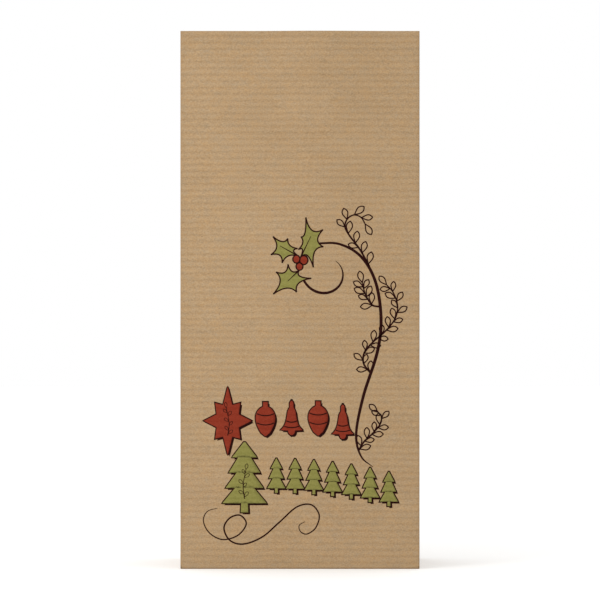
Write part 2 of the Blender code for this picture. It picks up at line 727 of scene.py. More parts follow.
@dataclass
class Walls:
    """The printed front sheet and the two sheets of the back, which lap down its middle.

    The lap is a ply of its own, one fold's pitch further in, so that it stays
    below the covering sheet when the bag is flat.

    Attributes:
        kraft: the paper's finish.
        spacing: distance between the grids' points.
        foot: height at which the sheets meet the base's creases.
        tuck: how far the lap reaches in below the sheet that it belongs to.
        seam_gap: width of the groove that shows beside the covering sheet's edge.
        seam_ripple: height of the puckers along the glued seam.
        seam_waves: radians to a metre of the wide puckers, the fine ones and their slant.
        fold_wear: how much painted shade darkens the sheets at their creases.
    """

    kraft: Material
    spacing: float = 1.6 * MM
    foot: float = BAG.flap_z + BAG.base_fold + 0.5 * MM
    tuck: float = 1.2 * MM
    seam_gap: float = 0.3 * MM
    seam_ripple: float = 0.10 * MM
    seam_waves: tuple[float, float, float] = (420, 1130, 300)
    fold_wear: float = 0.08

    def sheet(self, name: str, shape: WallShape, low: float, high: float, inwards: float = 0.0) -> Piece:
        """Build one upright sheet that follows a wall's shape, puckered along the back's seam.

        Args:
            name: the piece's name.
            shape: the wall's shape.
            low: X of its left edge.
            high: X of its right edge.
            inwards: how far it lies inside the wall's own plane.

        Returns:
            The sheet.
        """
        x, z = np.meshgrid(steps(low, high, self.spacing), steps(self.foot, BAG.height, self.spacing))
        shift = -shape.end.value * inwards
        y = shape.depth(x, z) + shift
        if shape.end is End.REAR:
            near_seam = np.exp(-((x / BAG.lap) ** 4))
            wide, fine, slant = self.seam_waves
            y = y + self.seam_ripple * near_seam * (np.sin(z * wide) + 0.6 * np.sin(z * fine + x * slant))
        # painted shade, darker towards the side creases and the foot
        to_fold = np.minimum(BAG.side_x - CREASE_LIP - np.abs(x), z - self.foot)
        wear = self.fold_wear * np.exp(-np.maximum(to_fold, 0) / CREASE_SHADE_WIDTH)
        piece = paper_piece(name, np.stack([x, y, z], axis=2), self.kraft, wear, shape.end is End.REAR)
        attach(piece, shape.end.body)
        flatten_with_fold(piece)
        return piece

    def build(self) -> list[Piece]:
        """Build the front sheet, both back sheets and the lap.

        Returns:
            The pieces.
        """
        edge = BAG.side_x - CREASE_LIP
        gap = self.seam_gap / 2
        front = self.sheet("front_sheet", FRONT_SHAPE, -edge, edge)
        left = self.sheet("back_left_sheet", BACK_SHAPE, -edge, -BAG.lap - gap)
        lap = self.sheet("back_lap", BACK_SHAPE, -BAG.lap - self.tuck, BAG.lap, BAG.pitch)
        right = self.sheet("back_right_sheet", BACK_SHAPE, -BAG.lap + gap, edge)
        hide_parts("front_panel")
        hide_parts("back_left_panel")
        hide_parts("back_right_panel")
        return [front, left, lap, right]


@dataclass
class Gusset:
    """One side of the bag: two halves that meet at a crease, drawn in towards the mouth.

    Attributes:
        side: left or right.
        kraft: the paper's finish.
        draw_in: how far the centre crease is drawn in at the mouth.
        bulge: how far each half stands out between its creases.
        ripple: height of its soft unevenness.
        buckle: height of its shallow slanted buckles.
        spacing: distance between the grids' points.
        diagonal_shade: how much painted shade darkens the diagonal crease.
        centre_wear: how much painted shade darkens the centre crease.
    """

    side: Side
    kraft: Material
    draw_in: float = 9.0 * MM
    bulge: float = 0.9 * MM
    ripple: float = 0.22 * MM
    buckle: float = 0.5 * MM
    spacing: float = 1.6 * MM
    diagonal_shade: float = 0.6
    centre_wear: float = 0.75

    def inset(self, u: np.ndarray, z: np.ndarray, end: End) -> np.ndarray:
        """Return how far the half lies inside the plane of its upright creases.

        Below the diagonal crease, where z is less than u, it is 0. Above it, it
        grows as 1 - (1 - t) to the power 1.8, with t the share of the height that
        is left, and about in proportion to u, so it is greatest at the centre
        crease. Between the creases the paper stands out again by a half sine.

        Args:
            u: distance from the wall.
            z: height.
            end: which half this is.

        Returns:
            Distances towards the middle of the bag.
        """
        share = u / BAG.wall_y
        t = np.clip((z - u) / (BAG.height - BAG.wall_y), 0, 1)
        drawn = self.draw_in * (1 - (1 - t) ** 1.8) * share**1.08
        free = smooth_step(t * 5)
        bulge = self.bulge * free * np.sin(math.pi * share)
        phase = 1.3 * self.side.value + 0.8 * end.value
        waves = np.sin(23 * t + 4 * share + phase) + 0.6 * np.sin(41 * t - 5 * share + 2 * phase)
        buckles = soft_buckles(u - BAG.wall_y / 2, z, 1.6 * BAG.wall_y, phase)
        uneven = self.ripple * waves + self.buckle * buckles
        return drawn - bulge + free * np.sin(math.pi * share) * uneven

    def half(self, end: End) -> Piece:
        """Build one half, with rows of points that follow its diagonal crease.

        Args:
            end: which half to build.

        Returns:
            The half.
        """
        middle = BAG.wall_y - CENTRE_GAP
        u = np.append(steps(CREASE_LIP, middle - 0.9 * MM, self.spacing), [middle - 0.4 * MM, middle])
        low_share = np.append(np.linspace(0, 0.9, 18), [0.97, 1.0])[:, None]
        high_share = np.append([0.004], np.linspace(0.012, 1, 170))[:, None]
        low = GUSSET_FOOT + (u - GUSSET_FOOT) * low_share
        high = u + (BAG.height - u) * high_share
        z = np.concatenate([low, high])
        u = np.broadcast_to(u, z.shape)
        x = self.side.value * (BAG.side_x - self.inset(u, z, end))
        surface = np.stack([x, end.value * (BAG.wall_y - u), z], axis=2)
        # painted shade along the diagonal and centre creases
        diagonal = np.zeros(z.shape)
        diagonal[len(low) - 1] = self.diagonal_shade
        wear = np.maximum(diagonal, self.centre_wear * np.exp(-(middle - u) / CREASE_SHADE_WIDTH))
        name = f"{self.side.name.lower()}_gusset_{end.name.lower()}"
        turned = self.side.value * end.value > 0
        piece = paper_piece(f"{name}_sheet", surface, self.kraft, wear, turned)
        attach(piece, f"{name}_half")
        flatten_with_fold(piece)
        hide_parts(name, name.replace("gusset", "corner_fold"))
        return piece

    def build(self) -> list[Piece]:
        """Build both halves."""
        return [self.half(end) for end in End]


@dataclass
class Base:
    """The folded bottom: two outer flaps with slanted folds, and the tucks inside them.

    Attributes:
        flap_kraft: the flaps' finish.
        tuck_kraft: the tucks' finish.
        tuck_z: height of the tucks, just above the flaps.
        tuck_lap: how far a tuck reaches under its flap's slanted fold.
        spacing: distance between the grids' points.
        slanted_shade: how much painted shade darkens the slanted folds.
        centre_wear: how much painted shade darkens the centre crease.
        tuck_wear: how much painted shade darkens the tucks at their fold.
    """

    flap_kraft: Material
    tuck_kraft: Material
    tuck_z: float = 0.42 * MM
    tuck_lap: float = 13.0 * MM
    spacing: float = 1.8 * MM
    slanted_shade: float = 0.6
    centre_wear: float = 0.6
    tuck_wear: float = 0.5

    def lying(self, end: End, from_wall: np.ndarray, x: np.ndarray, z: float) -> np.ndarray:
        """Return a level surface from distances to a wall, places across, and a height."""
        y = np.broadcast_to(end.value * (BAG.wall_y - from_wall), x.shape)
        return np.stack([x, y, np.full(x.shape, z)], axis=2)

    def flap(self, end: End) -> Piece:
        """Build one flap, which narrows at 45 degrees from the wall to the centre.

        Args:
            end: the wall that it folds under from.

        Returns:
            The flap.
        """
        from_wall = steps(BAG.base_fold + 0.6 * MM, BAG.wall_y - CENTRE_GAP, self.spacing)[:, None]
        share = np.append(np.append(-1, steps(-0.985, 0.985, 0.028)), 1)[None, :]
        x = (BAG.side_x + BAG.paper / 2 - from_wall) * share
        # painted shade along the slanted folds and the centre crease
        slanted = np.where(np.abs(share) > 0.99, self.slanted_shade, 0.0)
        centre = self.centre_wear * np.exp(-(BAG.wall_y - from_wall) / (0.4 * MM))
        name = f"base_{end.name.lower()}"
        surface = self.lying(end, from_wall, x, BAG.flap_z)
        wear = np.maximum(slanted, centre)
        piece = paper_piece(f"{name}_flap_sheet", surface, self.flap_kraft, wear, end is End.FRONT)
        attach(piece, name)
        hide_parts(f"{name}_flap")
        return piece

    def tuck(self, side: Side, end: End) -> Piece:
        """Build one tuck: the gusset's paper, turned under and glued inside a flap.

        Args:
            side: the gusset that it comes from.
            end: the flap that it is glued to.

        Returns:
            The tuck.
        """
        from_wall = steps(BAG.base_fold, BAG.wall_y - CENTRE_GAP, self.spacing)[:, None]
        share = steps(0, 1, 0.05)[None, :]
        outer = BAG.side_x + BAG.paper / 2
        inner = np.maximum(outer - from_wall - self.tuck_lap, 0)
        x = side.value * (inner + (outer - inner) * share)
        name = f"{side.name.lower()}_base_tuck_{end.name.lower()}"
        surface = self.lying(end, from_wall, x, self.tuck_z)
        # painted shade along the tuck's fold
        wear = np.where(share > 0.99, self.tuck_wear, 0.0)
        turned = side.value * end.value < 0
        piece = paper_piece(f"{name}_sheet", surface, self.tuck_kraft, wear, turned)
        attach(piece, f"base_{end.name.lower()}")
        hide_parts(name)
        return piece

    def build(self) -> list[Piece]:
        """Build both flaps and all four tucks."""
        return [self.flap(end) for end in End] + [self.tuck(side, end) for side in Side for end in End]


@dataclass
class Creases:
    """The narrow rounded strips of paper that join the panels.

    Attributes:
        kraft: the paper's finish.
        arc_points: points round each bend.
        spacing: distance between the points along a crease.
        foot: height at which the upright creases start.
        least_shade: how much painted shade darkens a strip at its edges.
        bend_shade: how much more painted shade darkens the middle of its bend.
    """

    kraft: Material
    arc_points: int = 9
    spacing: float = 4.0 * MM
    foot: float = 0.6 * MM
    least_shade: float = 0.05
    bend_shade: float = 0.28

    def strip(self, name: str, profile: np.ndarray, along: np.ndarray, axis: int, ply: float) -> Piece:
        """Carry a profile along a straight crease.

        Args:
            name: the piece's name.
            profile: points of two coordinates, in the order of the other two axes.
            along: places along the crease.
            axis: the crease's own axis, 0 for X or 2 for Z.
            ply: thickness of the paper.

        Returns:
            The strip.
        """
        surface = np.zeros((len(along), len(profile), 3))
        surface[:, :, axis] = along[:, None]
        surface[:, :, [k for k in range(3) if k != axis]] = profile[None, :, :]
        # painted shade, darkest in the middle of the bend
        bend = np.sin(np.linspace(0, math.pi, len(profile)))
        return paper_piece(name, surface, self.kraft, self.least_shade + self.bend_shade * bend, thickness=ply)

    def section(self, side: Side, end: End, offset: float, wall_lip: bool, gusset_lip: bool) -> np.ndarray:
        """Return the section of an upright corner: wall lip, quarter circle, gusset lip.

        Args:
            side: the corner's side.
            end: the corner's wall.
            offset: moves the section outwards, for a ply.
            wall_lip: include the flat part on the wall.
            gusset_lip: include the flat part on the gusset.

        Returns:
            Points of x and y.
        """
        turn = np.linspace(0, math.pi / 2, self.arc_points)
        centre = np.array([BAG.side_x, BAG.wall_y]) - BAG.side_fold
        parts = [centre + (BAG.side_fold + offset) * np.stack([np.sin(turn), np.cos(turn)], axis=1)]
        if wall_lip:
            parts.insert(0, np.array([[BAG.side_x - CREASE_LIP, BAG.wall_y + offset]]))
        if gusset_lip:
            parts.append(np.array([[BAG.side_x + offset, BAG.wall_y - CREASE_LIP]]))
        return np.concatenate(parts) * [side.value, end.value]

    def upright(self, side: Side, end: End) -> list[Piece]:
        """Build an upright crease between a wall and a gusset.

        It is attached to neither body. At the right rear corner no joint links
        them, so two plies are used, one on each body, that overlap when open.

        Args:
            side: the crease's side.
            end: the crease's wall.

        Returns:
            The strip, or its two plies.
        """
        along = steps(self.foot, BAG.height, self.spacing)
        gusset = f"{side.name.lower()}_gusset_{end.name.lower()}_half"
        name = f"{side.name.lower()}_{end.name.lower()}_crease"
        if (side, end) == (Side.RIGHT, End.REAR):
            quarter = BAG.paper / 4
            outer = self.section(side, end, quarter, True, False)
            inner = self.section(side, end, -quarter, False, True)
            plies = [
                self.strip(f"{name}_outer_ply", outer, along, 2, 2 * quarter),
                self.strip(f"{name}_inner_ply", inner, along, 2, 2 * quarter),
            ]
            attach(plies[0], end.body)
            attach(plies[1], gusset)
            return plies
        piece = self.strip(name, self.section(side, end, 0.0, True, True), along, 2, BAG.paper)
        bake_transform(piece)
        return [piece]

    def lying(self, end: End) -> Piece:
        """Build the crease between a wall and its base flap: wall lip, quarter circle, flap lip.

        Args:
            end: the wall.

        Returns:
            The strip.
        """
        turn = np.linspace(0, math.pi / 2, self.arc_points)
        radius = BAG.base_fold
        axis_z = BAG.flap_z + radius
        flap_y = BAG.wall_y - radius
        y = np.concatenate([[BAG.wall_y], flap_y + radius * np.cos(turn), [flap_y - 0.6 * MM]])
        z = np.concatenate([[axis_z + 0.5 * MM], axis_z - radius * np.sin(turn), [BAG.flap_z]])
        profile = np.stack([y * end.value, z], axis=1)
        along = steps(-BAG.side_x, BAG.side_x, self.spacing)
        piece = self.strip(f"{end.name.lower()}_base_crease", profile, along, 0, BAG.paper)
        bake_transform(piece)
        return piece

    def build(self) -> list[Piece]:
        """Build all upright and lying creases."""
        pieces = [piece for side in Side for end in End for piece in self.upright(side, end)]
        return pieces + [self.lying(end) for end in End]


# ------------------------------------------------------------------- print


class Layer(Enum):
    """The order in which the inks lie on each other, from the paper up."""

    SHADOW = 0
    LINE = 1
    COLOUR = 2
    DETAIL = 3
    BERRY = 4
    BERRY_LINE = 5


def smooth_path(points: list[Point], samples: int = 14) -> np.ndarray:
    """Return points on the Catmull-Rom curve through some points.

    Between two points it is the cubic whose slope at each is half the step from
    the point before to the point after.

    Args:
        points: given points, in millimetres.
        samples: points on each stretch.

    Returns:
        Points in millimetres, as rows of two.
    """
    given = np.array(points, float)
    p = np.concatenate([[2 * given[0] - given[1]], given, [2 * given[-1] - given[-2]]])
    before, here, there, after = (p[k:len(p) - 3 + k, None] for k in range(4))
    t = np.linspace(0, 1, samples, endpoint=False)[None, :, None]
    curve = 0.5 * (
        2 * here
        + (there - before) * t
        + (2 * before - 5 * here + 4 * there - after) * t**2
        + (3 * here - before - 3 * there + after) * t**3
    )
    return np.concatenate([curve.reshape(-1, 2), given[-1:]])


def unit(vectors: np.ndarray) -> np.ndarray:
    """Return vectors at a length of 1."""
    return vectors / np.maximum(np.linalg.norm(vectors, axis=1, keepdims=True), TINY)


def sideways(vectors: np.ndarray) -> np.ndarray:
    """Return vectors turned a quarter turn to the left."""
    return np.stack([-vectors[..., 1], vectors[..., 0]], axis=-1)


def ring_points(turn: np.ndarray) -> np.ndarray:
    """Return points on a circle of radius 1, by angle from X."""
    return np.stack([np.cos(turn), np.sin(turn)], axis=1)


def densify(corners: np.ndarray, spacing: float) -> np.ndarray:
    """Return points no further apart than spacing along straight lines between corners.

    Args:
        corners: the lines' ends.
        spacing: the greatest distance between two points.

    Returns:
        The points.
    """
    lengths = np.linalg.norm(np.diff(corners, axis=0), axis=1)
    parts = [
        a + (b - a) * np.linspace(0, 1, max(2, int(length / spacing) + 2))[:-1, None]
        for a, b, length in zip(corners[:-1], corners[1:], lengths)
    ]
    return np.concatenate(parts + [corners[-1:]])


@dataclass
class InkFilm:
    """All the shapes of one ink at one layer, drawn on the front sheet in millimetres.

    X is from the sheet's middle and Z from the ground.

    Attributes:
        name: the piece's name.
        layer: where it lies among the inks.
        points: the shapes' points so far.
        faces: their quads so far.
        count: how many points there are.
        film: thickness of the dried ink, drawn thicker than it is so it stays whole.
        layer_pitch: distance between two layers as a share of the film.
        merge: points closer than this become one.
        mitre_limit: keeps the mitre of a sharp corner short.
    """

    name: str
    layer: Layer
    points: list[np.ndarray] = field(default_factory=list)
    faces: list[np.ndarray] = field(default_factory=list)
    count: int = 0
    film: float = 0.012 * MM
    layer_pitch: float = 1.5
    merge: float = 0.002 * MM
    mitre_limit: float = 0.55

    def grid(self, surface: np.ndarray) -> None:
        """Add a grid to the film.

        Args:
            surface: an array of rows, columns and x, z.
        """
        rows, columns, _ = surface.shape
        self.points.append(surface.reshape(-1, 2))
        self.faces.append(grid_faces(rows, columns, self.count))
        self.count += rows * columns

    def stroke(self, path: np.ndarray, width: np.ndarray | float) -> None:
        """Add a line along a path.

        Args:
            path: its points.
            width: of the line, or its width at each point.
        """
        half_width = np.broadcast_to(np.asarray(width) / 2, len(path))[:, None]
        half = sideways(unit(np.gradient(path, axis=0))) * half_width
        self.grid(np.stack([path + half, path - half], axis=1))

    def loop(self, outline: np.ndarray, width: float) -> None:
        """Add a line round a closed outline, whose corners are mitred up to a limit.

        Args:
            outline: its points.
            width: of the line.
        """
        back = outline - np.roll(outline, 1, axis=0)
        forth = np.roll(outline, -1, axis=0) - outline
        mitre = sideways(unit(back)) + sideways(unit(forth))
        mitre /= np.maximum(np.sum(mitre**2, axis=1, keepdims=True) / 2, self.mitre_limit)
        half = mitre * width / 2
        ring = np.stack([outline + half, outline - half], axis=1)
        self.grid(np.concatenate([ring, ring[:1]]))

    def band(self, left: np.ndarray, right: np.ndarray, columns: int = 7) -> None:
        """Fill between two edges that have as many points as each other."""
        share = np.linspace(0, 1, columns)[None, :, None]
        self.grid(left[:, None] * (1 - share) + right[:, None] * share)

    def fan(self, outline: np.ndarray, centre: np.ndarray, rings: int = 9) -> None:
        """Fill a closed outline with rings that shrink to a centre.

        Args:
            outline: its points.
            centre: the point that they shrink to.
            rings: how many there are.
        """
        share = np.linspace(0.0, 1, rings)[:, None, None]
        closed = np.concatenate([outline, outline[:1]])[None]
        self.grid(centre + (closed - centre) * share)

    def piece(self, material: Material) -> Piece:
        """Lay the film on the front sheet's outer side and let it move with the sheet.

        Args:
            material: the ink's finish.

        Returns:
            The film.
        """
        x, z = (np.concatenate(self.points) * MM).T
        lift = BAG.paper / 2 + self.film * (1 + self.layer_pitch * self.layer.value)
        places = np.stack([x, FRONT_SHAPE.depth(x, z) - lift, z], axis=1)
        piece = make_piece(self.name, places, np.concatenate(self.faces), material)
        self.clean(piece)
        thickness = piece.modifiers.new("film", "SOLIDIFY")
        thickness.thickness = self.film
        thickness.offset = 0.0
        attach(piece, "front")
        flatten_with_fold(piece)
        return piece

    def clean(self, piece: Piece) -> None:
        """Merge the points at poles and seams, and face every shape to the front.

        Args:
            piece: the film's object.
        """
        shape = bmesh.new()
        shape.from_mesh(piece.data)
        bmesh.ops.remove_doubles(shape, verts=shape.verts, dist=self.merge)
        bmesh.ops.dissolve_degenerate(shape, edges=shape.edges, dist=self.merge)
        shape.normal_update()
        backwards = [face for face in shape.faces if face.normal.y > 0]
        bmesh.ops.reverse_faces(shape, faces=backwards)
        shape.to_mesh(piece.data)
        shape.free()


@dataclass(frozen=True)
class Spot:
    """Where a shape of the rows stands, by its middle, and how large it is, in millimetres."""

    x: float
    z: float
    width: float
    height: float

    def edge(self, reach: np.ndarray, drop: np.ndarray) -> np.ndarray:
        """Return points from shares of the half-width and, from the top down, of the height."""
        top = self.z + self.height / 2
        return np.stack([self.x + reach * self.width / 2, top - drop * self.height], axis=1)


def film_field(name: str, layer: Layer) -> InkFilm:
    """Return a dataclass field that starts as an empty film."""
    return field(default_factory=lambda: InkFilm(name, layer))


@dataclass
class FrontPrint:
    """The ornament on the front: a holly sprig on a vine, rows of stars and firs, and a flourish.

    All sizes and places here are in millimetres.

    Attributes:
        line: width of the outlines.
        fine: width of the vine's leaflet lines.
        hair: width of the finest lines, on the star and the large fir.
        shadow: how far the printed shadow falls to the right and down.
        leaflet_width: half-width of a leaflet as a share of its length.
        leaflet_angle: mean angle between a leaflet and its branch, in degrees.
        dip: how far a holly leaf's edge dips towards its heart between spines.
        waist: radius of a star between its points, as a share of the longest.
        side_point: radius of its slanted points, as the same share.
    """

    line: float = 0.66
    fine: float = 0.72
    hair: float = 0.34
    shadow: float = 1.15
    leaflet_width: float = 0.24
    leaflet_angle: float = 44.0
    dip: float = 0.72
    waist: float = 0.5
    side_point: float = 0.74
    shade: InkFilm = film_field("ink_shadow", Layer.SHADOW)
    lines: InkFilm = film_field("ink_outline", Layer.LINE)
    red: InkFilm = film_field("ink_red", Layer.COLOUR)
    green: InkFilm = film_field("ink_green", Layer.COLOUR)
    details: InkFilm = film_field("ink_detail", Layer.DETAIL)
    berries: InkFilm = film_field("ink_berries", Layer.BERRY)
    berry_lines: InkFilm = film_field("ink_berry_outline", Layer.BERRY_LINE)

    # -- vine

    def leaflet_outline(self, root: np.ndarray, heading: np.ndarray, length: float) -> np.ndarray:
        """Return a leaf that is pointed at both ends and widest beyond its middle.

        Its half-width is the sine of pi times a power of the way along it.

        Args:
            root: where it joins its branch.
            heading: unit direction that it points in.
            length: from root to tip.

        Returns:
            The outline's points.
        """
        t = np.linspace(0, 1, 15)[:, None]
        along = np.concatenate([t, t[-2:0:-1]])
        side = np.where(np.arange(len(along)) < len(t), 1, -1)[:, None]
        across = self.leaflet_width * side * np.sin(math.pi * along**1.45) ** 0.8
        return root + length * (along * heading + across * sideways(heading))

    def paired(self, pairs: int) -> list[tuple[float, int]]:
        """Return shares of a branch's length, and sides, of staggered pairs of leaflets."""
        return [((0.2 + k // 2 + 0.36 * (k % 2)) / pairs, 1 if k % 2 else -1) for k in range(2 * pairs)]

    def spray(
        self, film: InkFilm, points: list[Point], leaves: list[tuple[float, int]], length: float, line: float
    ) -> None:
        """Draw a branch with outlined leaflets at its sides and one at its tip.

        Args:
            film: the ink.
            points: given points of the branch.
            leaves: share of the branch's length, and side, 1 left or -1 right, of each leaflet.
            length: of each leaflet.
            line: width of the lines.
        """
        path = smooth_path(points)
        film.stroke(path, np.linspace(1.6, 1.0, len(path)) * line)
        heading = unit(np.gradient(path, axis=0))
        travelled = np.cumsum(np.linalg.norm(np.diff(path, axis=0), axis=1))
        for k, (share, side) in enumerate(leaves):
            index = int(np.searchsorted(travelled, share * travelled[-1]))
            turn = side * math.radians(self.leaflet_angle + 6 * math.sin(2.4 * k))
            rotation = np.array([[math.cos(turn), math.sin(turn)], [-math.sin(turn), math.cos(turn)]])
            size = length * (0.95 + 0.09 * math.sin(1.9 * k + 1))
            film.loop(self.leaflet_outline(path[index], heading[index] @ rotation, size), line)
        film.loop(self.leaflet_outline(path[-1], heading[-1], length), line)

    def vine(self) -> None:
        """Draw the main stem, its curl and its leafy branches.

        The stem swells as a sine and thins out at its foot. The curl's radius
        falls with the cube of the way that is left along it.
        """
        stem = smooth_path(
            [(9.5, 190.2), (23, 189.8), (35.5, 182.6), (44, 168), (47.3, 147),
             (45.2, 127), (37, 101), (32.8, 79), (35.6, 66), (42.6, 59.6)]
        )
        t = np.linspace(0, 1, len(stem))
        self.lines.stroke(stem, (0.78 + 1.08 * np.sin(math.pi * (0.1 + 0.8 * t))) * (1 - 0.72 * t**9))
        t = np.linspace(0, 1, 70)
        radius = 9.5 + 4.2 * (1 - t) ** 3
        curl = np.array([15.5, 172]) + radius[:, None] * ring_points(np.radians(194 + 222 * t))
        self.lines.stroke(curl, 0.3 + 1.25 * np.sin(math.pi * (0.3 + 0.7 * t)))
        top = [(0.05, -1), (0.2, -1), (0.29, 1), (0.36, -1), (0.51, -1),
               (0.6, 1), (0.7, 1), (0.81, 1), (0.91, 1)]
        left = [(0.24, 1), (0.28, -1), (0.46, 1), (0.57, -1), (0.66, 1), (0.82, -1), (0.88, 1)]
        for points, leaves, length in (
            ([(40.6, 176.6), (35, 186.6), (29, 194.6), (26.3, 199.8), (27.6, 204.4), (31.4, 206.8),
              (35.6, 205.4), (38, 201.6)], top, 7.2),
            ([(46.4, 153.2), (42, 154.4), (38.2, 160.4), (36.4, 167.2)], left, 6.9),
            ([(41.6, 114), (37.2, 120), (37.6, 126.5), (42.6, 132.6), (49.5, 138.6),
              (55.4, 146), (57, 153.6), (54.6, 161.2), (50.6, 166)], self.paired(10), 6.6),
            ([(34.3, 69.4), (37.4, 74.4), (42.6, 79.4), (47, 85), (47.4, 89.6), (45.4, 91.6)],
             self.paired(5), 6.6),
        ):
            self.spray(self.lines, points, leaves, length, self.fine)

    # -- holly

    def thorny_edge(self, spines: list[Point], heart: np.ndarray) -> np.ndarray:
        """Return the edge through some spines, which dips towards the leaf's heart between them.

        Each dip is the quadratic curve whose pole lies part of the way from the
        middle of two spines to the heart, so the spines come out thin.

        Args:
            spines: the base, the spines of one side, and the tip.
            heart: the leaf's middle.

        Returns:
            The edge's points.
        """
        ends = np.array(spines, float)
        here, there = ends[:-1, None], ends[1:, None]
        pole = (here + there) / 2 * (1 - self.dip) + heart * self.dip
        t = np.linspace(0, 1, 16)[None, :, None]
        return (here * (1 - t) ** 2 + 2 * pole * t * (1 - t) + there * t**2).reshape(-1, 2)

    def holly_leaf(self, base: Point, left: list[Point], right: list[Point], tip: Point, rib: float) -> None:
        """Draw a spiny leaf with its outline and midrib.

        Args:
            base: where it joins the sprig.
            left: the spines of its left side.
            right: the spines of its right side.
            tip: its farthest spine.
            rib: length of the midrib as a share of the leaf.
        """
        sides = [base, *left, tip], [base, *right, tip]
        heart = np.mean(sides[0] + sides[1], axis=0)
        edges = [self.thorny_edge(side, heart) for side in sides]
        self.green.fan(np.concatenate([edges[0], edges[1][::-1]]), heart)
        for edge in edges:
            self.details.stroke(edge, 1.2 * self.line)
        t = np.linspace(0, 1, 12)[:, None]
        self.details.stroke(np.array(base) + (heart - base) * 2 * t * rib, np.linspace(0.9, 0.3, 12))

    def holly(self) -> None:
        """Draw three leaves and three berries."""
        for leaf in (
            ((0.2, 181.6), [(-0.9, 186.6), (0.6, 194.0)], [(7.8, 176.2), (13.6, 188.2), (13.4, 198.2)],
             (3.4, 205.4), 0.7),
            ((-0.6, 182.6), [(-1.4, 187.2), (-7.2, 193.0)], [(-10.4, 178.8), (-17.0, 183.6)],
             (-15.8, 194.2), 0.7),
            ((-0.4, 174.6), [(-7.0, 178.0), (-13.9, 173.4)], [(6.6, 169.8), (-2.0, 161.8)],
             (-15.6, 160.6), 0.6),
        ):
            self.holly_leaf(*leaf)
        oval = ring_points(np.linspace(0, 2 * math.pi, 40, endpoint=False)) * [1, 1.1]
        for x, z, radius in ((-0.3, 176.7, 2.0), (-2.1, 181.0, 2.1), (2.2, 180.4, 2.4)):
            centre = np.array([x, z])
            self.berries.fan(centre + radius * oval, centre, 5)
            self.berry_lines.loop(centre + radius * oval, 1.15 * self.line)

    # -- rows

    def shadows(self) -> list[np.ndarray]:
        """Return the shifts of the two films of a printed shadow, to the right and down."""
        return [np.array([self.shadow, -self.shadow]) * share for share in (0.5, 1.0)]

    def raised(self, colour: InkFilm, spot: Spot, reach: np.ndarray, drop: np.ndarray) -> np.ndarray:
        """Fill a symmetrical shape, outline it, and print its shadow.

        Args:
            colour: the ink that fills it.
            spot: where it stands.
            reach: shares of the half-width at each height.
            drop: shares of the height, from the top down.

        Returns:
            Its right edge.
        """
        left, right = spot.edge(-reach, drop), spot.edge(reach, drop)
        for shift in self.shadows():
            self.shade.band(left + shift, right + shift)
        colour.band(left, right)
        self.lines.loop(np.concatenate([left, right[::-1]]), 2 * self.line)
        return right

    def painted_bands(self, spot: Spot, ends: np.ndarray, sag: float) -> None:
        """Draw lines across a shape from edge to edge, which sag in the middle.

        Args:
            spot: where the shape stands.
            ends: the right end of each line.
            sag: how far they sag.
        """
        share = np.linspace(-1, 1, 15)
        for x, z in ends:
            line = np.stack([spot.x + share * (x - spot.x) * 0.96, z - sag * (1 - share**2)], axis=1)
            self.details.stroke(line, self.line)

    def fir(self, spot: Spot, tiers: int) -> None:
        """Draw a fir tree: each tier widens to its foot and steps in again, over a short trunk.

        Args:
            spot: where it stands.
            tiers: number of tiers.
        """
        crown = 0.87
        step_in = 0.42
        corners = [(0.0, 0.035)]
        for tier in range(tiers):
            foot = (tier + 1) / tiers * crown
            reach = 0.42 + 0.58 * (tier + 1) / tiers
            corners.append((foot, reach))
            corners.append((foot - 0.025, step_in * reach if tier < tiers - 1 else 0.16))
        corners += [(crown + 0.01, 0.15), (1.0, 0.17)]
        drop, reach = densify(np.array(corners), 0.04).T
        self.raised(self.green, spot, reach, drop)

    def bauble(self, spot: Spot) -> None:
        """Draw a drop-shaped glass ornament with a cap and two painted bands.

        Args:
            spot: where it stands.
        """
        cap = 0.14
        t = np.linspace(0, 1, 60)
        body = np.clip((t - cap) / (1 - cap), 0, 1)
        reach = np.where(t < cap, 0.24, 0.2 + 0.8 * np.sin(math.pi * body**0.72) ** 0.85)
        reach = reach * np.where(t > 0.9, np.sqrt(np.clip((1.001 - t) / 0.1, 0, 1)), 1)
        right = self.raised(self.red, spot, reach, t)
        self.painted_bands(spot, right[[20, 36]], 1.2)

    def bell(self, spot: Spot) -> None:
        """Draw a bell that flares to its lip, with a loop above, a clapper below and two bands.

        Args:
            spot: where it stands.
        """
        shoulder, lip = 0.12, 0.865
        t = np.linspace(0, 1, 90)
        body = np.clip((t - shoulder) / 0.74, 0, 1)
        flare = 0.30 * np.sin(math.pi / 2 * np.clip(body / 0.3, 0, 1)) + 0.34 * body**1.5 + 0.36 * body**7
        loop = 0.16 * np.sqrt(np.clip(t / 0.06, 0, 1))
        clapper = 0.3 * np.sqrt(np.clip(1 - ((t - 0.88) / 0.12) ** 2, 0, 1))
        reach = np.where(t < shoulder, loop, np.where(t < lip, np.maximum(flare, 0.16), clapper))
        right = self.raised(self.red, spot, reach, t)
        self.painted_bands(spot, right[[52, 66]], 0.8)

    def star(self, spot: Spot) -> None:
        """Draw an eight-pointed star whose upright points are the longest.

        Args:
            spot: where it stands.
        """
        turn = np.arange(9) * math.pi / 8
        radius = np.tile([1.0, self.waist, self.side_point, self.waist], 3)[:9]
        reach = radius * np.sin(turn) * spot.width / 2
        rise = radius * np.cos(turn) * spot.height / 2
        right = densify(np.stack([reach, rise], axis=1), 0.9)
        centre = np.array([spot.x, spot.z])
        outline = np.concatenate([right, (right * [-1, 1])[::-1][1:-1]]) + centre
        for shift in self.shadows():
            self.shade.fan(outline + shift, centre + shift)
        self.red.fan(outline, centre)
        self.lines.loop(outline, 2 * self.line)

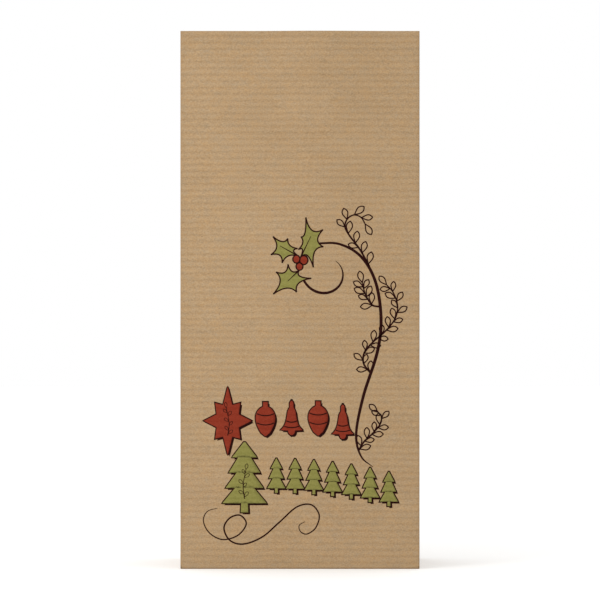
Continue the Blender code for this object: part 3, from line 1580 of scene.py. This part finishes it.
    def rows(self) -> None:
        """Draw the red row of a large star, baubles and bells, and the green row of firs.

        The small firs stand on a parabola that falls away to the right.
        """
        self.star(Spot(-42.2, 86.6, 28.0, 40.0))
        self.bauble(Spot(-20.2, 87.6, 11.4, 20.0))
        self.bell(Spot(-4.9, 88.3, 13.4, 20.0))
        self.bauble(Spot(10.6, 88.0, 11.4, 20.0))
        self.bell(Spot(25.0, 86.0, 13.0, 20.0))
        self.fir(Spot(-32.4, 53.6, 26.0, 41.0), 4)
        for x in -13.8 + 10.95 * np.arange(7):
            self.fir(Spot(x, 54.6 - 0.0018 * (x + 14) ** 2, 10.6, 20.0), 3)
        for points, length in (
            ([(-42.2, 78), (-41.4, 85), (-43, 94)], 3.4),
            ([(-32.4, 41), (-33.2, 49), (-31.6, 58)], 3.6),
        ):
            self.spray(self.details, points, self.paired(3), length, self.hair)

    def flourish(self) -> None:
        """Draw the looping line below the rows."""
        path = smooth_path(
            [(-48.1, 35.6), (-54.2, 33.6), (-56.4, 28), (-52.8, 21), (-45, 17.2), (-36.2, 19.8),
             (-31.4, 26.4), (-35, 31.4), (-41, 29.8), (-44.4, 24), (-41, 16.8), (-33, 14.6), (-22, 18.8),
             (-12, 27.4), (-2, 36.2), (6.5, 37.6), (11.2, 31.6), (9.2, 24.2), (4.2, 20.5), (0.4, 21.8),
             (-0.5, 25.4), (3, 27.8)]
        )
        t = np.linspace(0, 1, len(path))
        self.lines.stroke(path, 0.22 + 0.72 * np.sin(math.pi * t) ** 0.5)

    def build(self, dark: Material, red: Material, green: Material) -> list[Piece]:
        """Draw everything and lay the films on the sheet.

        Args:
            dark: the finish of lines and shadows.
            red: the finish of stars, baubles and berries.
            green: the finish of leaves and firs.

        Returns:
            The films.
        """
        self.vine()
        self.holly()
        self.rows()
        self.flourish()
        films = (self.shade, self.lines, self.red, self.green, self.details, self.berries, self.berry_lines)
        finishes = (dark, dark, red, green, dark, red, dark)
        return [film.piece(finish) for film, finish in zip(films, finishes)]


# ------------------------------------------------------------------- stage


@dataclass
class Studio:
    """A white floor, soft light a little stronger from the left, and a long-lens camera.

    Attributes:
        view_width: width of the camera's view at the front sheet.
        lens: focal length in millimetres.
        sensor: sensor width in millimetres.
        sky: brightness of the light from all round.
        key: power of the large lamp, in watts.
        key_size: length of its side.
        key_place: where it stands.
        floor_glow: brightness of the light that comes through the floor.
        floor_reach: how far the floor goes from the bag.
    """

    view_width: float = 350.5 * MM
    lens: float = 200.0
    sensor: float = 36.0
    sky: float = 1.0
    key: float = 7.6
    key_size: float = 0.42
    key_place: Point3 = (-0.8, -0.85, 0.24)
    floor_glow: float = 0.22
    floor_reach: float = 4.0

    def floor(self) -> None:
        """Build a plain pale floor, lit a little from below as a light table is."""
        material, inputs = new_material("translucent_white_floor")
        inputs["Base Color"].default_value = linear("#ededec")
        inputs["Roughness"].default_value = 0.9
        inputs["Emission Color"].default_value = (1, 1, 1, 1)
        inputs["Emission Strength"].default_value = self.floor_glow
        across = np.linspace(-self.floor_reach, self.floor_reach, 5)
        x, y = np.meshgrid(across, across)
        grid_piece("floor", np.stack([x, y, np.zeros_like(x)], axis=2), material)

    def world(self) -> None:
        """Light the scene evenly from all round with white."""
        world = bpy.data.worlds.new("white_studio")
        world.use_nodes = True
        inputs = world.node_tree.nodes["Background"].inputs
        inputs["Color"].default_value = (1, 1, 1, 1)
        inputs["Strength"].default_value = self.sky
        bpy.context.scene.world = world
        bpy.context.scene.view_settings.view_transform = "Standard"

    def lamp(self) -> None:
        """Add a square lamp that faces the middle of the bag."""
        light = bpy.data.lights.new("key_lamp", "AREA")
        light.size = self.key_size
        light.energy = self.key
        item = bpy.data.objects.new("key_lamp", light)
        item.location = self.key_place
        item.rotation_mode = "QUATERNION"
        aim = Vector((0, 0, BAG.height / 2)) - Vector(self.key_place)
        item.rotation_quaternion = aim.to_track_quat("-Z", "Y")
        bpy.context.scene.collection.objects.link(item)

    def camera(self) -> None:
        """Stand the camera straight before the front sheet, level with its middle."""
        data = bpy.data.cameras.new("camera")
        data.lens = self.lens
        data.sensor_width = self.sensor
        data.clip_end = 50
        item = bpy.data.objects.new("camera", data)
        distance = self.view_width * self.lens / self.sensor
        item.location = (0, -BAG.wall_y - distance, BAG.height / 2)
        item.rotation_euler = (math.pi / 2, 0, 0)
        bpy.context.scene.collection.objects.link(item)
        bpy.context.scene.camera = item

    def build(self) -> None:
        """Build the floor, the lights and the camera."""
        self.floor()
        self.world()
        self.lamp()
        self.camera()


def main() -> None:
    """Build the bag and the studio, and log each piece."""
    logging.basicConfig(level=logging.INFO, format="%(name)s: %(message)s")
    Studio().build()
    kraft = KraftFinish("ribbed_kraft_glazed").build()
    base_kraft = KraftFinish("ribbed_kraft_base", rib_axis=RibAxis.LYING).build()
    tuck_kraft = KraftFinish("ribbed_kraft_tuck", "#7e6646", "#9f8868", RibAxis.CROSSWISE).build()
    dark_ink = PrintedInk("dark_brown_ink_printed", "#1b0604", "#290d09").build()
    red_ink = PrintedInk("brick_red_ink_printed", "#662011", "#7c3121").build()
    green_ink = PrintedInk("olive_ink_printed", "#676431", "#7f7a44").build()
    pieces = Walls(kraft).build()
    for side in Side:
        pieces += Gusset(side, kraft).build()
    pieces += Base(base_kraft, tuck_kraft).build()
    pieces += Creases(kraft).build()
    pieces += FrontPrint().build(dark_ink, red_ink, green_ink)
    for piece in pieces:
        LOG.info("built %s with %d faces", piece.name, len(piece.data.polygons))


if __name__ == "__main__":
    main()
